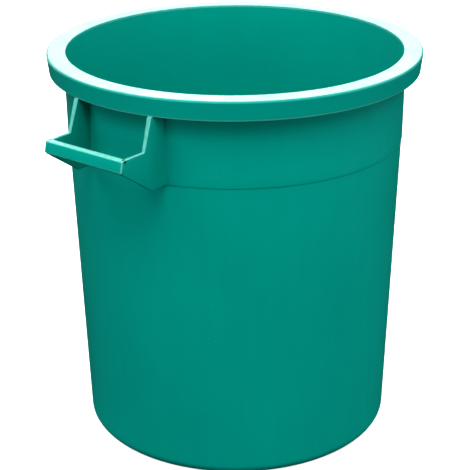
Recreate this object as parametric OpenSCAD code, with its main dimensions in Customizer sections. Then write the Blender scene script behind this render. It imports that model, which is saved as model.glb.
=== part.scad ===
// Open-topped round tub with a hanging rim and two bracket handles.
// Origin: centre of the face the tub stands on. +Z is up and the handles lie along X.
// The real tub is one plastic moulding. Each module below is one region of it, and
// neighbouring regions meet face to face, so together they fill the moulding exactly.

/* [Body] */
// Height from the floor to the top of the rim
tub_h = 535; // [480:5:600]
// Outside diameter of the wall where it reaches the floor
base_d = 421; // [400:1:430]
// Thickness of the wall, the floor and the rim
wall = 3; // [2.5:0.5:3.5]
// Outside radius of the corner between the wall and the floor
corner_r = 15; // [10:1:25]

/* [Upper band] */
// Height of the small step where the thicker upper band begins
step_z = 416; // [404:1:420]
// Outside diameter of the lower wall just under the step
step_d = 450.5; // [446:0.5:452]
// How far the upper band stands out from the wall below it
step_out = 0.8; // [0.4:0.2:1.6]
// Outside diameter of the upper band where it reaches the rim
band_top_d = 454.8; // [454:0.2:458]

/* [Foot] */
// How far the middle of the floor is raised above the foot ring
foot_h = 5; // [2:1:8]
// Width of the flat ring that the tub stands on
foot_w = 18; // [12:1:30]

/* [Rim] */
// Outside diameter of the rim
rim_d = 500; // [496:1:506]
// Height of the skirt that hangs from the rim, from the top of the rim to its lower edge
rim_h = 26; // [24:1:30]
// Outside radius of the rounded shoulder between the rim's top and its skirt
shoulder_r = 2.5; // [1:0.5:2.5]
// How far the skirt leans in from the shoulder to its lower edge
skirt_lean = 3; // [1:0.5:4]
// Radius on the opening's top edge
lip_r = 1.5; // [0.5:0.5:2]

/* [Handles] */
// Width of a handle over both of its cheeks
handle_w = 128; // [110:1:140]
// Distance from the tub's axis to a grip's face, at its top
grip_x = 294; // [288:1:300]
// How far a grip's face leans out from its top to its lower edge
grip_lean = 3; // [2:0.5:5]
// Height of a grip's top above the floor
grip_top_z = 468; // [464:1:472]
// Height of a grip's face
grip_h = 15; // [13:1:18]
// Depth of a grip's top, from its face back towards the tub
grip_depth = 8; // [7:0.5:14]
// Thickness of a grip's top and face
grip_t = 3.5; // [3:0.5:4.5]
// Radius along a grip's top outside edge
grip_r = 3; // [1.5:0.5:3]
// Thickness of a cheek at its foot
cheek_t = 4.5; // [4:0.5:6]
// Thickness of a cheek where it meets the rim
cheek_top_t = 6.5; // [5:0.5:8]
// Distance from the tub's axis to a cheek's edge, at the rim's skirt
cheek_top_x = 241; // [238:0.5:243]
// Distance from the tub's axis to a cheek's edge, just above the grip's level
cheek_step_x = 254.5; // [250:0.5:260]
// Distance from the tub's axis to a cheek's lowest outside corner
cheek_low_x = 243.5; // [240:0.5:248]

/* [Hidden] */
$fn = 192;

body_color = [0.0, 0.56, 0.5];
rim_color = [0.0, 0.6, 0.54];
handle_color = [0.0, 0.52, 0.46];

draft = (step_d - base_d) / 2 / step_z;
step_in_r = step_d / 2 - wall;
step_out_r = step_d / 2 + step_out;
opening_r = band_top_d / 2 - wall;
rim_r = rim_d / 2;
skirt_z = tub_h - rim_h;
flange_z = tub_h - wall;
skirt_in = rim_r - wall;
skirt_low_r = rim_r - skirt_lean;
corner_cx = outer_r(corner_r) - corner_r;
foot_in_r = corner_cx - foot_w;
riser_r = foot_in_r - wall;
panel_top = foot_h + wall;
grip_low_z = grip_top_z - grip_h;
grip_slope = grip_lean / grip_h;
face_normal = [grip_h, grip_lean] / norm([grip_h, grip_lean]);
round_centre = [
    grip_x - grip_r * (norm([grip_h, grip_lean]) - grip_lean) / grip_h,
    grip_top_z - grip_r
];
reach = rim_d;
arc_steps = 6;

// Outside radius of the lower wall at height z
function outer_r(z) = base_d / 2 + draft * z;

// Points along an arc, from one angle to another
function arc(centre, radius, from, to) = [
    for (i = [0:arc_steps])
        let (angle = from + (to - from) * i / arc_steps)
            centre + radius * [cos(angle), sin(angle)]
];

// A closed ring between two heights. Each height has an inside and an outside radius.
module wall_ring(low, low_in, low_out, high, high_in, high_out) {
    rotate_extrude()
        polygon([
            [low_in, low],
            [low_out, low],
            [high_out, high],
            [high_in, high]
        ]);
}

// Raised middle of the floor
module base_panel() {
    color(body_color)
        translate([0, 0, foot_h])
            cylinder(h = wall, r = riser_r);
}

// Rounded corner, with the flat ring that the tub stands on and the riser up to the floor's middle
module base_corner() {
    color(body_color)
        rotate_extrude() {
            translate([riser_r, 0])
                square([wall, panel_top]);
            translate([foot_in_r, 0])
                square([foot_w, wall]);
            intersection() {
                difference() {
                    translate([corner_cx, corner_r])
                        circle(r = corner_r);
                    translate([corner_cx, corner_r])
                        circle(r = corner_r - wall);
                }
                translate([corner_cx, 0])
                    square([corner_r, corner_r]);
            }
        }
}

// Plain drafted wall from the corner up to the step
module lower_wall() {
    color(body_color)
        wall_ring(
            corner_r, outer_r(corner_r) - wall, outer_r(corner_r),
            step_z, step_in_r, step_d / 2
        );
}

// Upper part of the wall, which stands out by the small step and is nearly upright
module upper_band() {
    color(body_color)
        wall_ring(step_z, step_in_r, step_out_r, flange_z, opening_r, band_top_d / 2);
}

// Flat top of the rim, with a rounded edge round the opening
module rim_top() {
    color(rim_color)
        rotate_extrude()
            polygon(concat(
                [[opening_r, flange_z], [skirt_in, flange_z], [skirt_in, tub_h]],
                arc([opening_r + lip_r, tub_h - lip_r], lip_r, 90, 180)
            ));
}

// Rounded shoulder that turns the rim's top down into its skirt
module rim_shoulder() {
    color(rim_color)
        rotate_extrude()
            polygon(concat(
                [[skirt_in, tub_h], [skirt_in, flange_z], [rim_r, flange_z]],
                arc([rim_r - shoulder_r, tub_h - shoulder_r], shoulder_r, 0, 90)
            ));
}

// Skirt that hangs outside the wall, open underneath
module rim_skirt() {
    color(rim_color)
        rotate_extrude()
            polygon([
                [skirt_low_r - wall, skirt_z],
                [skirt_low_r, skirt_z],
                [rim_r, flange_z],
                [skirt_in, flange_z]
            ]);
}

// Everything that a cheek has to leave free: the wall, and the rim outside the skirt's inside face
module cheek_clearance() {
    rotate_extrude()
        polygon([
            [0, 0],
            [base_d / 2, 0],
            [step_d / 2, step_z],
            [step_out_r, step_z],
            [band_top_d / 2, flange_z],
            [0, flange_z]
        ]);
    rotate_extrude()
        polygon([
            [skirt_low_r - wall, skirt_z],
            [reach, skirt_z],
            [reach, tub_h],
            [skirt_in, tub_h],
            [skirt_in, flange_z]
        ]);
}

// Side outline of a cheek, as distance from the axis and height. The foot ends at the step.
module cheek_outline() {
    polygon([
        [step_in_r, step_z],
        [cheek_low_x, step_z],
        [grip_x + grip_lean - grip_t, grip_low_z],
        [grip_x - grip_t, grip_top_z],
        [cheek_step_x, grip_top_z],
        [cheek_top_x, skirt_z],
        [cheek_top_x, flange_z],
        [step_in_r, flange_z]
    ]);
}

// One cheek of the +X handle, on the side given by 1 or -1, thicker towards the rim
module cheek(side) {
    color(handle_color)
        difference() {
            intersection() {
                translate([0, handle_w, 0])
                    rotate([90, 0, 0])
                        linear_extrude(2 * handle_w)
                            cheek_outline();
                rotate([90, 0, 90])
                    linear_extrude(reach)
                        polygon([
                            [side * handle_w / 2, 0],
                            [side * handle_w / 2, tub_h],
                            [side * (handle_w / 2 - cheek_top_t), tub_h],
                            [side * (handle_w / 2 - cheek_top_t), skirt_z],
                            [side * (handle_w / 2 - cheek_t), grip_top_z],
                            [side * (handle_w / 2 - cheek_t), 0]
                        ]);
            }
            cheek_clearance();
        }
}

// Top of the +X handle's grip, between the cheeks and behind the grip's face
module grip_top() {
    span = handle_w - 2 * cheek_t;
    color(handle_color)
        translate([0, span / 2, 0])
            rotate([90, 0, 0])
                linear_extrude(span)
                    polygon([
                        [grip_x - grip_depth, grip_top_z - grip_t],
                        [grip_x - grip_t + grip_t * grip_slope, grip_top_z - grip_t],
                        [grip_x - grip_t, grip_top_z],
                        [grip_x - grip_depth, grip_top_z]
                    ]);
}

// Face of the +X handle's grip, over the full width, with its top outside edge rounded
module grip_face() {
    color(handle_color)
        translate([0, handle_w / 2, 0])
            rotate([90, 0, 0])
                linear_extrude(handle_w)
                    difference() {
                        polygon([
                            [grip_x - grip_t, grip_top_z],
                            [grip_x - grip_t + grip_lean, grip_low_z],
                            [grip_x + grip_lean, grip_low_z],
                            [grip_x, grip_top_z]
                        ]);
                        difference() {
                            polygon([
                                round_centre,
                                round_centre + [0, 2 * grip_r],
                                round_centre + [2 * grip_r, 2 * grip_r],
                                round_centre + 2 * grip_r * face_normal,
                                round_centre + grip_r * face_normal
                            ]);
                            translate(round_centre)
                                circle(r = grip_r);
                        }
                    }
}

// Puts a part of the +X handle on the -X side
module left() {
    rotate([0, 0, 180])
        children();
}

base_panel();
base_corner();
lower_wall();
upper_band();
rim_top();
rim_shoulder();
rim_skirt();
left() cheek(1);  // left_cheek_front
left() cheek(-1);  // left_cheek_rear
left() grip_top();  // left_grip_top
left() grip_face();  // left_grip_face
cheek(-1);  // right_cheek_front
cheek(1);  // right_cheek_rear
grip_top();  // right_grip_top
grip_face();  // right_grip_face
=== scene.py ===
"""The looks of a round open tub with two bracket handles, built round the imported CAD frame.

Every size and place comes from the CAD nodes' boxes or from the named values below, in metres.
"""

import math

import bmesh
import bpy
from mathutils import Matrix, Vector


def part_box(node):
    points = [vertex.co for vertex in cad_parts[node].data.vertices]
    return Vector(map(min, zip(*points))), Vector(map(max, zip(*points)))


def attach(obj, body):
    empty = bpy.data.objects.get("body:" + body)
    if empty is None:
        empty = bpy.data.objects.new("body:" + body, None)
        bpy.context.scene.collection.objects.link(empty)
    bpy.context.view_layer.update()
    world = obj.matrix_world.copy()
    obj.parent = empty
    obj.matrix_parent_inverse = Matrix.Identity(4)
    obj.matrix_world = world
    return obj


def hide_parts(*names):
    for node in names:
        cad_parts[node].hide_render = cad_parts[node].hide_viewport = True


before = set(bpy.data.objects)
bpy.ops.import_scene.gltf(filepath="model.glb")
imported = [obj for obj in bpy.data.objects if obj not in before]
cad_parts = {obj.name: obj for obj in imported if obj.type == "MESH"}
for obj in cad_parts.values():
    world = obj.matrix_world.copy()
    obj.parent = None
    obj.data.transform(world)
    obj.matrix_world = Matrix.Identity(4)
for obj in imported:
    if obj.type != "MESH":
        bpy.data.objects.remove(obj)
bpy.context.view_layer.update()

MM = 0.001

# What the CAD boxes can't say: leans, thicknesses and small radii, as in the CAD source.
STEP_OUT = 0.8 * MM
BAND_TOP_R = 227.4 * MM
SKIRT_LEAN = 3 * MM
CHEEK_STEP_X = 254.5 * MM
CHEEK_TOP_X = 241 * MM
CHEEK_LOW_X = 243.5 * MM
CHEEK_FOOT_T = 4.5 * MM
CHEEK_TOP_T = 6.5 * MM
GRIP_LEAN = 3 * MM
GRIP_T = 3.5 * MM
GRIP_EDGE_R = 3 * MM
SHOULDER_R = 2.5 * MM

# Small radii that only the looks have.
LIP_R = 1.4 * MM
RIM_DOME = 0.4 * MM
SKIRT_EDGE_R = 1.1 * MM
SKIRT_INSIDE_R = 1.5 * MM
FOOT_EDGE_R = 1.2 * MM
RISER_R = 1.8 * MM
STEP_EDGE_R = 0.5 * MM
GATE_R = 9 * MM
GATE_DEPTH = 0.8 * MM
CHEEK_EDGE_R = 0.7 * MM
GRIP_END_R = 1.2 * MM
GRIP_SMALL_R = 0.8 * MM
GRIP_INSIDE_R = 1.5 * MM
WALL_FILLET_R = 2 * MM

# The cheeks' ends: the gap left inside the skirt, the share of the grip's thickness that lies over
# them, and the share of their rounding that the stepped corner draws in by.
SKIRT_GAP = 8 * MM
GRIP_COVER = 0.8
STEP_INSET = 0.8

# Edge wear and painted highlight: pale teal on tight edges, partly real wear and partly a painted
# highlight where edges catch the light. The sharpness of an edge, in radians a metre, from which it
# shows and is full.
WEAR_AND_HIGHLIGHT_NAME = "edge_wear_and_highlight"
WEAR_AND_HIGHLIGHT_FROM = 300
WEAR_AND_HIGHLIGHT_FULL = 900
# On faces looking down the pale keeps only this share: painted shade on undersides.
UNDERSIDE_SHADE_SHARE = 0.3
# Wear and painted highlight cover a face only if the face is narrower than this.
WEAR_AND_HIGHLIGHT_REACH = 7 * MM
# The least width that a face counts as having, and the slope from which it is an underside.
EDGE_LEAST_WIDTH = 0.01 * MM
UNDERSIDE_SLOPE = -0.5
# How far down from its top a grip is painted pale: a painted highlight on the grip's top.
GRIP_HIGHLIGHT_DEPTH = 1.6 * MM

# How fine the meshes are: steps round the axis and along each arc, and the longest pieces.
ROUND_STEPS = 320
ARC_STEPS = 6
RIM_ARC_STEPS = 10
CORNER_STEPS = 12
EDGE_STEPS = 4
GRIP_END_STEPS = 6
FILLET_RINGS = 16
GRIP_RINGS = 12
WALL_PIECE = 12 * MM
RIM_PIECE = 1.6 * MM
# Points closer than this are one, and edges that bend more than this stay sharp, in degrees.
SAME_POINT = 1e-7
SHARP_BEND = 38

# The camera: distance from the tub's axis, height above the floor, and where it points.
CAMERA_AZIMUTH = -51.3
CAMERA_DISTANCE = 1.9057
CAMERA_HEIGHT = 1.0536
CAMERA_PITCH = 22.569
CAMERA_YAW = 0.042
CAMERA_ROLL = 0.39
CAMERA_LENS = 112.7
SENSOR_WIDTH = 36

# The lights: turn from the camera's azimuth, elevation and brightness of each softbox.
LIGHT_DISTANCE = 3.0
SOFTBOX_SIDE = 1.2
SOFTBOXES = (
    ("top_key", -15, 60, 9.5),
    ("front_key", -15, 35, 0.9),
    ("right_fill", 55, 10, 5.8),
    ("left_fill", -50, 10, 4.8),
    ("right_edge", 95, 10, 3.0),
    ("left_edge", -135, 10, 2.6),
)
# The two behind the tub: turn, elevation, width, height and brightness.
BACK_LIGHT = (180, 12, 1.6, 1.2, 3.4)
RIM_GLOW = (180, 29, 2.4, 1.0, 12.0)
# Brightness of the sky at rising elevations in degrees, as shares of its strength.
SKY_STRENGTH = 3.0
SKY_LEVELS = ((0, 0.003), (30, 0.003), (38, 1), (57, 1), (66, 0.003), (90, 0.003))
WHITE = (1, 1, 1)
FLOOR_REACH = 12
FLOOR_GREY = (0.8, 0.8, 0.8)
FLOOR_ROUGHNESS = 0.9
FLOOR_EMISSION = 0.75


# ---------------------------------------------------------------- places taken from the frame

def node_reach(node):
    """Largest distance from the tub's axis along X or Y of a round CAD node."""
    low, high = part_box(node)
    return max(high.x, high.y, -low.x, -low.y)


panel_low, panel_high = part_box("base_panel")
WALL = panel_high.z - panel_low.z
FOOT_H = panel_low.z
CORNER_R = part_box("base_corner")[1].z
STEP_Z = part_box("lower_wall")[1].z
FLANGE_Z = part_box("upper_band")[1].z
RIM_TOP_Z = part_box("rim_top")[1].z
SKIRT_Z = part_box("rim_skirt")[0].z
RIM_R = node_reach("rim_skirt")
CORNER_OUT = node_reach("base_corner")
STEP_OUT_R = node_reach("lower_wall")
RISER_IN = node_reach("base_panel")
OPENING_R = BAND_TOP_R - WALL
DRAFT = (STEP_OUT_R - CORNER_OUT) / (STEP_Z - CORNER_R)

grip_low, grip_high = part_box("right_grip_face")
GRIP_X = grip_high.x - GRIP_LEAN
GRIP_TOP_Z = grip_high.z
GRIP_LOW_Z = grip_low.z
GRIP_BACK_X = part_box("right_grip_top")[0].x
HANDLE_HALF_W = grip_high.y
GRIP_SLOPE = GRIP_LEAN / (GRIP_TOP_Z - GRIP_LOW_Z)
# Above this height the cheeks' tight edges get wear and painted highlight.
CHEEK_WEAR_AND_HIGHLIGHT_Z = GRIP_TOP_Z - GRIP_SMALL_R * 2
# How deep the cheeks and their fillets stand in the wall.
SUNK = WALL * 0.5


def outer_r(z):
    """Outside radius of the plain wall at height z."""
    return CORNER_OUT + DRAFT * (z - CORNER_R)


def band_r(z):
    """Outside radius of the upper band at height z."""
    share = (z - STEP_Z) / (FLANGE_Z - STEP_Z)
    low = STEP_OUT_R + STEP_OUT
    return low + (BAND_TOP_R - low) * share


# ---------------------------------------------------------------- mesh helpers

def rounded(corners, steps=ARC_STEPS):
    """Points of an outline whose corners are (x, y, radius). A corner with radius 0 stays sharp."""
    points = []
    count = len(corners)
    for i, (x, y, radius) in enumerate(corners):
        here = Vector((x, y))
        before = Vector(corners[i - 1][:2]) - here
        after = Vector(corners[(i + 1) % count][:2]) - here
        if radius == 0:
            points.append((x, y))
            continue
        before.normalize()
        after.normalize()
        half = before.angle(after) / 2
        middle = here + (before + after).normalized() * (radius / math.sin(half))
        start = here + before * (radius / math.tan(half)) - middle
        turn = start.angle_signed(here + after * (radius / math.tan(half)) - middle)
        for k in range(steps + 1):
            arm = start.copy()
            arm.rotate(Matrix.Rotation(-turn * k / steps, 2))
            points.append(tuple(middle + arm))
    return points


def split_long(points, longest):
    """The same open outline with extra points wherever two are further apart than longest."""
    out = [points[0]]
    for a, b in zip(points, points[1:]):
        pieces = max(1, math.ceil(math.dist(a, b) / longest))
        for k in range(1, pieces + 1):
            share = k / pieces
            out.append((a[0] + (b[0] - a[0]) * share, a[1] + (b[1] - a[1]) * share))
    return out


def split_long_closed(points, longest):
    """The same for a closed outline."""
    return split_long(points + points[:1], longest)[:-1]


def mark_edge_wear_and_highlight(bm, wear_and_highlight_above, highlight_above):
    """Writes the edge wear and painted highlight, 0 to 1, on each face corner. Wide faces stay at 0.

    Tight convex edges are paled above the first height, partly wear and partly painted highlight.
    Above the second height everything is painted pale as a highlight. Faces looking down keep less, as
    painted shade.
    """
    layer = bm.loops.layers.float.new(WEAR_AND_HIGHLIGHT_NAME)
    bm.normal_update()
    bm.verts.index_update()
    worn_and_lit = [1.0 if vert.co.z > highlight_above else 0.0 for vert in bm.verts]
    for edge in bm.edges:
        width = min(face.calc_area() for face in edge.link_faces) / edge.calc_length()
        sharpness = edge.calc_face_angle_signed() / max(width, EDGE_LEAST_WIDTH)
        wear_and_lit = min(1, max(0, (sharpness - WEAR_AND_HIGHLIGHT_FROM) / (WEAR_AND_HIGHLIGHT_FULL - WEAR_AND_HIGHLIGHT_FROM)))
        for vert in edge.verts:
            if vert.co.z > wear_and_highlight_above:
                worn_and_lit[vert.index] = max(worn_and_lit[vert.index], wear_and_lit)
    for face in bm.faces:
        longest = max(edge.calc_length() for edge in face.edges)
        if face.calc_area() > WEAR_AND_HIGHLIGHT_REACH * longest:
            continue
        # Faces looking down keep less of the pale: painted shade.
        side = UNDERSIDE_SHADE_SHARE if face.normal.z < UNDERSIDE_SLOPE else 1
        for loop in face.loops:
            loop[layer] = worn_and_lit[loop.vert.index] * side


def finish_mesh(name, bm, material, wear_and_highlight_above=None, highlight_above=math.inf):
    """Turns bm into a smooth-shaded object of that name, with its sharp edges kept.

    Its edges get wear and painted highlight above the first height given, or nowhere if that is None.
    """
    bmesh.ops.remove_doubles(bm, verts=bm.verts, dist=SAME_POINT)
    bmesh.ops.recalc_face_normals(bm, faces=bm.faces)
    if wear_and_highlight_above is not None:
        mark_edge_wear_and_highlight(bm, wear_and_highlight_above, highlight_above)
    mesh = bpy.data.meshes.new(name)
    bm.to_mesh(mesh)
    bm.free()
    mesh.polygons.foreach_set("use_smooth", [True] * len(mesh.polygons))
    mesh.set_sharp_from_angle(angle=math.radians(SHARP_BEND))
    mesh.materials.append(material)
    obj = bpy.data.objects.new(name, mesh)
    bpy.context.scene.collection.objects.link(obj)
    return obj


def lathe(bm, outline, closed):
    """Turns an outline of (radius, height) about the Z axis. Points at radius 0 become poles."""
    rings = []
    for radius, height in outline:
        if radius == 0:
            rings.append([bm.verts.new((0, 0, height))])
            continue
        rings.append([
            bm.verts.new((
                radius * math.cos(2 * math.pi * k / ROUND_STEPS),
                radius * math.sin(2 * math.pi * k / ROUND_STEPS),
                height,
            ))
            for k in range(ROUND_STEPS)
        ])
    pairs = list(zip(rings, rings[1:]))
    if closed:
        pairs.append((rings[-1], rings[0]))
    for a, b in pairs:
        for k in range(ROUND_STEPS):
            n = (k + 1) % ROUND_STEPS
            if len(a) == 1:
                bm.faces.new((a[0], b[n], b[k]))
            elif len(b) == 1:
                bm.faces.new((a[k], a[n], b[0]))
            else:
                bm.faces.new((a[k], a[n], b[n], b[k]))


def loft(bm, rings):
    """Joins equal closed rings of points in order and caps both ends."""
    rows = [[bm.verts.new(p) for p in ring] for ring in rings]
    count = len(rows[0])
    for a, b in zip(rows, rows[1:]):
        for k in range(count):
            n = (k + 1) % count
            bm.faces.new((a[k], a[n], b[n], b[k]))
    bm.faces.new(rows[0])
    bm.faces.new(list(reversed(rows[-1])))


def round_off(radius, depth):
    """How far a rounded edge of that radius has drawn in, at that depth from the end."""
    left = max(0, radius - depth)
    return radius - math.sqrt(radius * radius - left * left)


def round_depths(radius, steps=EDGE_STEPS):
    """Depths from the end at which a rounded edge of that radius gets a ring, from 0 to the radius."""
    return [radius * (1 - math.cos(math.pi / 2 * k / steps)) for k in range(steps + 1)]


# ---------------------------------------------------------------- materials

TEAL = (0.0, 0.285, 0.225)
# Colour of the edge wear and of the painted highlight on edges and grip tops.
PALE_TEAL = (0.19, 0.66, 0.57)
DUST = (0.45, 0.62, 0.58)
SHEEN = (0.0, 0.75, 0.65)
ROUGHNESS = 0.34
# How far the pigment darkens and lightens, and the share of the streaks in it.
DARKER = 0.93
LIGHTER = 1.05
STREAK_SHARE = 0.35
DUST_SHARE = 0.22
# The middle of a noise's values, which is spread over the range wanted.
NOISE_LOW = 0.3
NOISE_HIGH = 0.7


def node(tree, kind, **inputs):
    """A new shader node with the given input values."""
    made = tree.nodes.new(kind)
    for key, value in inputs.items():
        made.inputs[key.replace("_", " ")].default_value = value
    return made


def plastic(name, base):
    """Moulded polyethylene: one colour with faint mottling, satin skin, fine grain, and light wear
    with a painted highlight on its edges.
    """
    material = bpy.data.materials.new(name)
    material.use_nodes = True
    tree = material.node_tree
    tree.nodes.clear()
    link = tree.links.new
    out = tree.nodes.new("ShaderNodeOutputMaterial")
    shader = tree.nodes.new("ShaderNodeBsdfPrincipled")
    shader.inputs["IOR"].default_value = 1.4
    shader.inputs["Specular Tint"].default_value = (*SHEEN, 1)
    link(shader.outputs["BSDF"], out.inputs["Surface"])

    place = tree.nodes.new("ShaderNodeTexCoord")

    def noise(**inputs):
        made = node(tree, "ShaderNodeTexNoise", **inputs)
        link(place.outputs["Object"], made.inputs["Vector"])
        return made.outputs["Fac"]

    def ranged(value, low, high):
        made = node(tree, "ShaderNodeMapRange", From_Min=NOISE_LOW, From_Max=NOISE_HIGH)
        made.inputs["To Min"].default_value = low
        made.inputs["To Max"].default_value = high
        link(value, made.inputs["Value"])
        return made.outputs["Result"]

    def ramped(value, *points):
        made = tree.nodes.new("ShaderNodeValToRGB")
        for point, (position, colour) in zip(made.color_ramp.elements, points):
            point.position = position
            point.color = (*colour, 1)
        link(value, made.inputs["Fac"])
        return made.outputs["Color"]

    def mixed(share, colour, other):
        made = tree.nodes.new("ShaderNodeMix")
        made.data_type = "RGBA"
        made.inputs["B"].default_value = (*other, 1)
        link(share, made.inputs["Factor"])
        link(colour, made.inputs["A"])
        return made.outputs["Result"]

    # Pigment: slow cloudy variation and thin flow streaks that run up the wall.
    cloud = noise(Scale=5.0, Detail=3.0, Roughness=0.5)
    stretch = tree.nodes.new("ShaderNodeMapping")
    stretch.inputs["Scale"].default_value = (60.0, 60.0, 3.0)
    link(place.outputs["Object"], stretch.inputs["Vector"])
    streak = node(tree, "ShaderNodeTexNoise", Scale=1.0, Detail=2.0, Roughness=0.6)
    link(stretch.outputs["Vector"], streak.inputs["Vector"])
    blend = tree.nodes.new("ShaderNodeMath")
    blend.operation = "MULTIPLY_ADD"
    blend.inputs[1].default_value = STREAK_SHARE
    link(streak.outputs["Fac"], blend.inputs[0])
    link(cloud, blend.inputs[2])
    tint = ramped(
        blend.outputs["Value"],
        (0.45, [c * DARKER for c in base]),
        (0.95, [c * LIGHTER for c in base]),
    )

    # Dust specks: rare and small.
    speck = node(tree, "ShaderNodeTexVoronoi", Scale=38.0)
    speck.feature = "F1"
    link(place.outputs["Object"], speck.inputs["Vector"])
    speck_edge = ramped(speck.outputs["Distance"], (0.018, WHITE), (0.03, (0, 0, 0)))
    speck_share = tree.nodes.new("ShaderNodeMath")
    speck_share.operation = "MULTIPLY"
    speck_share.inputs[1].default_value = DUST_SHARE
    link(speck_edge, speck_share.inputs[0])
    dusted = mixed(speck_share.outputs["Value"], tint, DUST)

    # Edge wear and painted highlight: paler where the mesh says that an edge is tight or a grip's top
    # is lit, broken up by a fine noise.
    wear_and_highlight_attr = tree.nodes.new("ShaderNodeAttribute")
    wear_and_highlight_attr.attribute_name = WEAR_AND_HIGHLIGHT_NAME
    pale_breakup = ranged(noise(Scale=160.0, Detail=3.0, Roughness=0.6), 0.4, 0.7)
    wear_and_highlight_share = tree.nodes.new("ShaderNodeMath")
    wear_and_highlight_share.operation = "MULTIPLY"
    link(wear_and_highlight_attr.outputs["Fac"], wear_and_highlight_share.inputs[0])
    link(pale_breakup, wear_and_highlight_share.inputs[1])
    # Pale teal mixed in on tight edges: partly wear, partly painted highlight.
    worn_and_lit = mixed(wear_and_highlight_share.outputs["Value"], dusted, PALE_TEAL)
    link(worn_and_lit, shader.inputs["Base Color"])

    # Sheen: satin, a little uneven.
    gloss = noise(Scale=22.0, Detail=4.0, Roughness=0.6)
    link(ranged(gloss, ROUGHNESS - 0.05, ROUGHNESS + 0.06), shader.inputs["Roughness"])

    # Relief: fine moulded grain over a very shallow waviness.
    grain = noise(Scale=900.0, Detail=2.0, Roughness=0.5)
    grain_bump = node(tree, "ShaderNodeBump", Strength=0.25, Distance=0.0001)
    link(grain, grain_bump.inputs["Height"])
    wave = noise(Scale=14.0, Detail=1.0, Roughness=0.4)
    wave_bump = node(tree, "ShaderNodeBump", Strength=0.3, Distance=0.0006)
    link(wave, wave_bump.inputs["Height"])
    link(grain_bump.outputs["Normal"], wave_bump.inputs["Normal"])
    link(wave_bump.outputs["Normal"], shader.inputs["Normal"])
    return material


tub_plastic = plastic("tub_plastic", TEAL)


# ---------------------------------------------------------------- the tub

def tub_body_outline():
    """Floor, foot ring, rounded corner and plain wall, from the underside's centre to the inside's."""
    corner_x = CORNER_OUT - CORNER_R
    riser_out = RISER_IN + WALL
    inside_r = CORNER_R - WALL
    quarters = [math.pi / 2 * k / CORNER_STEPS for k in range(1, CORNER_STEPS + 1)]
    under = [
        (0, FOOT_H + GATE_DEPTH, 0),
        (GATE_R, FOOT_H + GATE_DEPTH, 0),
        (GATE_R + GATE_DEPTH, FOOT_H, 0),
        (riser_out, FOOT_H, RISER_R),
        (riser_out, 0, FOOT_EDGE_R),
        (corner_x, 0, 0),
    ]
    outside = [
        (corner_x + CORNER_R * math.sin(turn), CORNER_R - CORNER_R * math.cos(turn))
        for turn in quarters
    ]
    wall_up = split_long([(CORNER_OUT, CORNER_R), (outer_r(STEP_Z), STEP_Z)], WALL_PIECE)[1:]
    wall_down = split_long(
        [(outer_r(STEP_Z) - WALL, STEP_Z), (CORNER_OUT - WALL, CORNER_R)], WALL_PIECE
    )
    inside = [
        (corner_x + inside_r * math.cos(turn), CORNER_R - inside_r * math.sin(turn))
        for turn in quarters
    ]
    over = [
        (corner_x, WALL, 0),
        (riser_out, WALL, RISER_R),
        (riser_out, FOOT_H + WALL, RISER_R),
        (GATE_R, FOOT_H + WALL, 0),
        (0, FOOT_H + WALL, 0),
    ]
    return rounded(under) + outside + wall_up + wall_down + inside + rounded(over)[1:]


def make_tub_body():
    bm = bmesh.new()
    lathe(bm, tub_body_outline(), closed=False)
    obj = finish_mesh("tub_body", bm, tub_plastic)
    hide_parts("base_panel", "base_corner", "lower_wall")
    return obj


def make_upper_band():
    outline = rounded([
        (outer_r(STEP_Z) - WALL, STEP_Z, 0),
        (band_r(STEP_Z), STEP_Z, STEP_EDGE_R),
        (band_r(FLANGE_Z), FLANGE_Z, 0),
        (OPENING_R, FLANGE_Z, 0),
    ])
    bm = bmesh.new()
    lathe(bm, split_long_closed(outline, WALL_PIECE), closed=True)
    obj = finish_mesh("upper_band_shell", bm, tub_plastic)
    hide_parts("upper_band")
    return obj


def make_rim():
    """Flat top, rounded shoulder and hanging skirt as one hollow section, open underneath."""
    low_out = RIM_R - SKIRT_LEAN
    outline = rounded([
        (OPENING_R, FLANGE_Z, 0),
        (OPENING_R, RIM_TOP_Z, LIP_R),
        (RIM_R, RIM_TOP_Z - RIM_DOME, SHOULDER_R),
        (low_out, SKIRT_Z, SKIRT_EDGE_R),
        (low_out - WALL, SKIRT_Z, SKIRT_EDGE_R),
        (RIM_R - WALL, FLANGE_Z, SKIRT_INSIDE_R),
    ], RIM_ARC_STEPS)
    bm = bmesh.new()
    lathe(bm, split_long_closed(outline, RIM_PIECE), closed=True)
    # The rim's tight edges get wear and painted highlight.
    obj = finish_mesh("rim_ring", bm, tub_plastic, wear_and_highlight_above=0)
    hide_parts("rim_top", "rim_shoulder", "rim_skirt")
    return obj


# ---------------------------------------------------------------- the handles

def cheek_thickness(z):
    share = (z - GRIP_TOP_Z) / (SKIRT_Z - GRIP_TOP_Z)
    return CHEEK_FOOT_T + (CHEEK_TOP_T - CHEEK_FOOT_T) * min(1, max(0, share))


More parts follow.
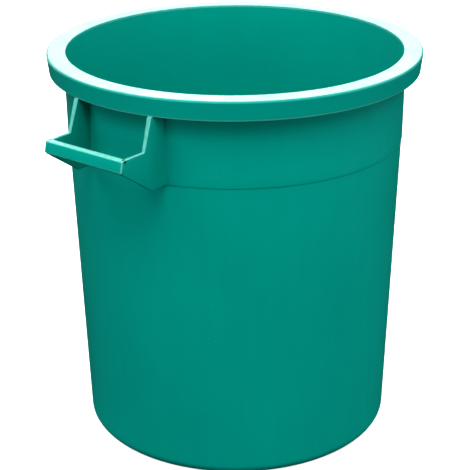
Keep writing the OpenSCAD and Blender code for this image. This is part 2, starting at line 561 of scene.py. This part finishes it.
def cheek_outline(inset, y):
    """Side outline of a cheek in x and z, shrunk by inset where it shows.

    Its back runs inside the wall, which curves, so that depends on the place y along the handle.
    """
    hidden_low_x = math.sqrt((outer_r(STEP_Z) - SUNK) ** 2 - y * y)
    hidden_high_x = math.sqrt((band_r(FLANGE_Z) - SUNK) ** 2 - y * y)
    grip_hidden = GRIP_X - GRIP_T * GRIP_COVER
    in_rim = RIM_R - SKIRT_LEAN - WALL - SKIRT_GAP
    top_z = FLANGE_Z + SUNK
    run = Vector((GRIP_X + GRIP_LEAN - CHEEK_LOW_X, GRIP_LOW_Z - STEP_Z)).normalized()
    low_x = CHEEK_LOW_X - inset * (1 - run.x) / run.y
    low_end = Vector((low_x, STEP_Z + inset)) + run * (
        (grip_hidden + GRIP_SLOPE * (GRIP_TOP_Z - GRIP_LOW_Z) - low_x) / run.x
    )
    return [
        (hidden_low_x, STEP_Z + inset),
        (low_x, STEP_Z + inset),
        (low_end.x, low_end.y),
        (grip_hidden, GRIP_TOP_Z - inset),
        (CHEEK_STEP_X - inset * STEP_INSET, GRIP_TOP_Z - inset),
        (CHEEK_TOP_X - inset, SKIRT_Z - inset),
        (in_rim, SKIRT_Z - inset),
        (in_rim, top_z),
        (hidden_high_x, top_z),
    ]


def fillet_section(face_y, wall_r):
    """Plan section of the fillet between the wall and a cheek's inner face at face_y."""
    rho = WALL_FILLET_R
    centre = Vector((0, face_y - rho))
    centre.x = math.sqrt((wall_r + rho) ** 2 - centre.y ** 2)
    inward = centre.normalized()
    touch = centre - inward * rho
    start = Vector((0, rho))
    turn = start.angle_signed(touch - centre)
    points = []
    for k in range(ARC_STEPS * 2 + 1):
        arm = start.copy()
        arm.rotate(Matrix.Rotation(-turn * k / (ARC_STEPS * 2), 2))
        points.append(tuple(centre + arm))
    points.append(tuple(touch - inward * SUNK))
    inside_cheek = face_y + CHEEK_FOOT_T * 0.5
    points.append((centre.x - rho, inside_cheek))
    points.append((centre.x, inside_cheek))
    return points


def add_cheek(bm, side):
    """One cheek of the +X handle, and the fillet between its inner face and the wall.

    side is 1 or -1 along Y.
    """
    rings = []
    depths = round_depths(CHEEK_EDGE_R)
    for depth in depths:
        outline = cheek_outline(round_off(CHEEK_EDGE_R, depth), HANDLE_HALF_W - depth)
        rings.append([(x, side * (HANDLE_HALF_W - depth), z) for x, z in outline])
    for depth in reversed(depths):
        inner_y = HANDLE_HALF_W - CHEEK_FOOT_T + depth
        outline = cheek_outline(round_off(CHEEK_EDGE_R, depth), inner_y)
        rings.append([
            (x, side * (HANDLE_HALF_W - cheek_thickness(z) + depth), z) for x, z in outline
        ])
    loft(bm, rings)
    strip = []
    for k in range(FILLET_RINGS + 1):
        z = STEP_Z + (FLANGE_Z - STEP_Z) * k / FILLET_RINGS
        face = HANDLE_HALF_W - cheek_thickness(z)
        strip.append([(x, side * y, z) for x, y in fillet_section(face, band_r(z))])
    loft(bm, strip)


def grip_outline(front_in, edge_in):
    """L section of the grip in x and z: the leaning face and the top behind it.

    The face is drawn in by front_in and the other sides by edge_in.
    """
    top = GRIP_TOP_Z - edge_in
    low = GRIP_LOW_Z + edge_in
    shelf = GRIP_TOP_Z - GRIP_T

    def face_x(z):
        return GRIP_X + GRIP_SLOPE * (GRIP_TOP_Z - z)

    return rounded([
        (GRIP_BACK_X + edge_in, top, GRIP_SMALL_R),
        (face_x(top) - front_in, top, GRIP_EDGE_R),
        (face_x(low) - front_in, low, GRIP_SMALL_R),
        (face_x(low) - GRIP_T, low, GRIP_SMALL_R),
        (face_x(shelf) - GRIP_T, shelf, GRIP_INSIDE_R),
        (GRIP_BACK_X + edge_in, shelf, GRIP_SMALL_R),
    ])


def add_grip(bm):
    """The grip over the full width of the handle, with its face rounded off at both ends."""
    ends = [
        (
            depth,
            grip_outline(round_off(GRIP_END_R, depth), round_off(CHEEK_EDGE_R, depth)),
        )
        for depth in sorted(round_depths(CHEEK_EDGE_R) + round_depths(GRIP_END_R, GRIP_END_STEPS)[1:])
    ]
    rings = [[(x, HANDLE_HALF_W - depth, z) for x, z in outline] for depth, outline in ends]
    for k in range(1, GRIP_RINGS):
        y = HANDLE_HALF_W * (1 - 2 * k / GRIP_RINGS)
        rings.append([(x, y, z) for x, z in grip_outline(0, 0)])
    rings += [
        [(x, depth - HANDLE_HALF_W, z) for x, z in outline] for depth, outline in reversed(ends)
    ]
    loft(bm, rings)


def turned_to(bm, handle):
    """Turns the +X handle's mesh to the -X side for the left handle."""
    if handle == "left":
        bmesh.ops.rotate(bm, verts=bm.verts, matrix=Matrix.Rotation(math.pi, 3, "Z"))


def make_handle(handle):
    made = []
    front = -1 if handle == "right" else 1
    for place, side in (("front", front), ("rear", -front)):
        bm = bmesh.new()
        add_cheek(bm, side)
        turned_to(bm, handle)
        name = f"{handle}_cheek_{place}_shell"
        obj = finish_mesh(name, bm, tub_plastic, wear_and_highlight_above=CHEEK_WEAR_AND_HIGHLIGHT_Z)
        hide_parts(f"{handle}_cheek_{place}")
        made.append(obj)
    bm = bmesh.new()
    add_grip(bm)
    turned_to(bm, handle)
    # The grip's top is painted pale: a painted highlight.
    obj = finish_mesh(
        f"{handle}_grip_shell", bm, tub_plastic, wear_and_highlight_above=0, highlight_above=GRIP_TOP_Z - GRIP_HIGHLIGHT_DEPTH
    )
    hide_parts(f"{handle}_grip_top", f"{handle}_grip_face")
    made.append(obj)
    return made


# ---------------------------------------------------------------- stage, lights and camera

def make_floor():
    bm = bmesh.new()
    bmesh.ops.create_grid(bm, x_segments=1, y_segments=1, size=FLOOR_REACH)
    material = bpy.data.materials.new("floor_white")
    material.use_nodes = True
    shader = material.node_tree.nodes["Principled BSDF"]
    shader.inputs["Base Color"].default_value = (*FLOOR_GREY, 1)
    shader.inputs["Roughness"].default_value = FLOOR_ROUGHNESS
    shader.inputs["Specular IOR Level"].default_value = 0.0
    shader.inputs["Emission Color"].default_value = (*WHITE, 1)
    shader.inputs["Emission Strength"].default_value = FLOOR_EMISSION
    obj = finish_mesh("floor", bm, material)
    obj.visible_diffuse = False
    obj.visible_glossy = False
    return obj


def make_world():
    """Soft light from a high band of sky. The camera sees the sky as plain white."""
    world = bpy.data.worlds.new("studio")
    bpy.context.scene.world = world
    world.use_nodes = True
    tree = world.node_tree
    tree.nodes.clear()
    link = tree.links.new
    out = tree.nodes.new("ShaderNodeOutputWorld")
    sky = tree.nodes.new("ShaderNodeBackground")
    sky.inputs["Strength"].default_value = SKY_STRENGTH
    backdrop = tree.nodes.new("ShaderNodeBackground")
    backdrop.inputs["Color"].default_value = (*WHITE, 1)
    place = tree.nodes.new("ShaderNodeTexCoord")
    part = tree.nodes.new("ShaderNodeSeparateXYZ")
    ramp = tree.nodes.new("ShaderNodeValToRGB")
    points = ramp.color_ramp.elements
    for elevation, _ in SKY_LEVELS[1:-1]:
        points.new(math.sin(math.radians(elevation)))
    for point, (elevation, level) in zip(points, SKY_LEVELS):
        point.position = math.sin(math.radians(elevation))
        point.color = (level, level, level, 1)
    rays = tree.nodes.new("ShaderNodeLightPath")
    pick = tree.nodes.new("ShaderNodeMixShader")
    link(place.outputs["Generated"], part.inputs["Vector"])
    link(part.outputs["Z"], ramp.inputs["Fac"])
    link(ramp.outputs["Color"], sky.inputs["Color"])
    link(rays.outputs["Is Camera Ray"], pick.inputs["Fac"])
    link(sky.outputs["Background"], pick.inputs[1])
    link(backdrop.outputs["Background"], pick.inputs[2])
    link(pick.outputs["Shader"], out.inputs["Surface"])


def around(azimuth, elevation, distance, target):
    """A point that far from target. Azimuth 0 is on the -Y side and 90 on the +X side."""
    a, e = math.radians(azimuth), math.radians(elevation)
    way = Vector((math.sin(a) * math.cos(e), -math.cos(a) * math.cos(e), math.sin(e)))
    return target + way * distance


def softbox(name, target, turn, elevation, width, height, radiance):
    """A rectangular light of that brightness per area, aimed at target and unseen by the camera.

    turn is measured from the camera's azimuth.
    """
    light = bpy.data.lights.new(name, "AREA")
    light.shape = "RECTANGLE"
    light.size = width
    light.size_y = height
    light.energy = radiance * width * height * math.pi
    obj = bpy.data.objects.new(name, light)
    bpy.context.scene.collection.objects.link(obj)
    obj.location = around(CAMERA_AZIMUTH + turn, elevation, LIGHT_DISTANCE, target)
    obj.rotation_mode = "QUATERNION"
    obj.rotation_quaternion = (obj.location - target).to_track_quat("Z", "Y")
    obj.visible_camera = False
    return obj


def make_lights(glowing, floor):
    """The studio's softboxes, and a glow behind the tub that reaches only the glowing pieces.

    Only the floor could shade the glow, so it also reaches the handle in front of the tub.
    """
    middle = Vector((0, 0, RIM_TOP_Z / 2))
    rim = Vector((0, 0, RIM_TOP_Z))
    for name, turn, elevation, radiance in SOFTBOXES:
        softbox(name, middle, turn, elevation, SOFTBOX_SIDE, SOFTBOX_SIDE, radiance)
    softbox("back", rim, *BACK_LIGHT)
    glow = softbox("rim_glow", rim, *RIM_GLOW)
    glow.visible_diffuse = False
    receivers = bpy.data.collections.new("glow_receivers")
    for obj in glowing:
        receivers.objects.link(obj)
    glow.light_linking.receiver_collection = receivers
    blockers = bpy.data.collections.new("glow_blockers")
    blockers.objects.link(floor)
    glow.light_linking.blocker_collection = blockers


def make_camera():
    data = bpy.data.cameras.new("camera")
    data.lens = CAMERA_LENS
    data.sensor_width = SENSOR_WIDTH
    obj = bpy.data.objects.new("camera", data)
    bpy.context.scene.collection.objects.link(obj)
    a, p, r = (math.radians(v) for v in (CAMERA_AZIMUTH, CAMERA_PITCH, CAMERA_ROLL))
    place = Vector((math.sin(a), -math.cos(a), 0)) * CAMERA_DISTANCE
    place.z = CAMERA_HEIGHT
    a += math.radians(CAMERA_YAW)
    forward = Vector((-math.sin(a) * math.cos(p), math.cos(a) * math.cos(p), -math.sin(p)))
    right = Vector((math.cos(a), math.sin(a), 0))
    down = forward.cross(right)
    x_axis = right * math.cos(r) + down * math.sin(r)
    y_axis = right * math.sin(r) - down * math.cos(r)
    obj.matrix_world = Matrix((
        (x_axis.x, y_axis.x, -forward.x, place.x),
        (x_axis.y, y_axis.y, -forward.y, place.y),
        (x_axis.z, y_axis.z, -forward.z, place.z),
        (0, 0, 0, 1),
    ))
    bpy.context.scene.camera = obj


# ---------------------------------------------------------------- put together

walls = [make_tub_body(), make_upper_band()]
glowing = [make_rim()] + make_handle("left") + make_handle("right")
pieces = walls + glowing
for piece in pieces:
    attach(piece, "root")

floor = make_floor()
make_world()
make_lights(glowing, floor)
make_camera()
bpy.context.scene.view_settings.view_transform = "Standard"
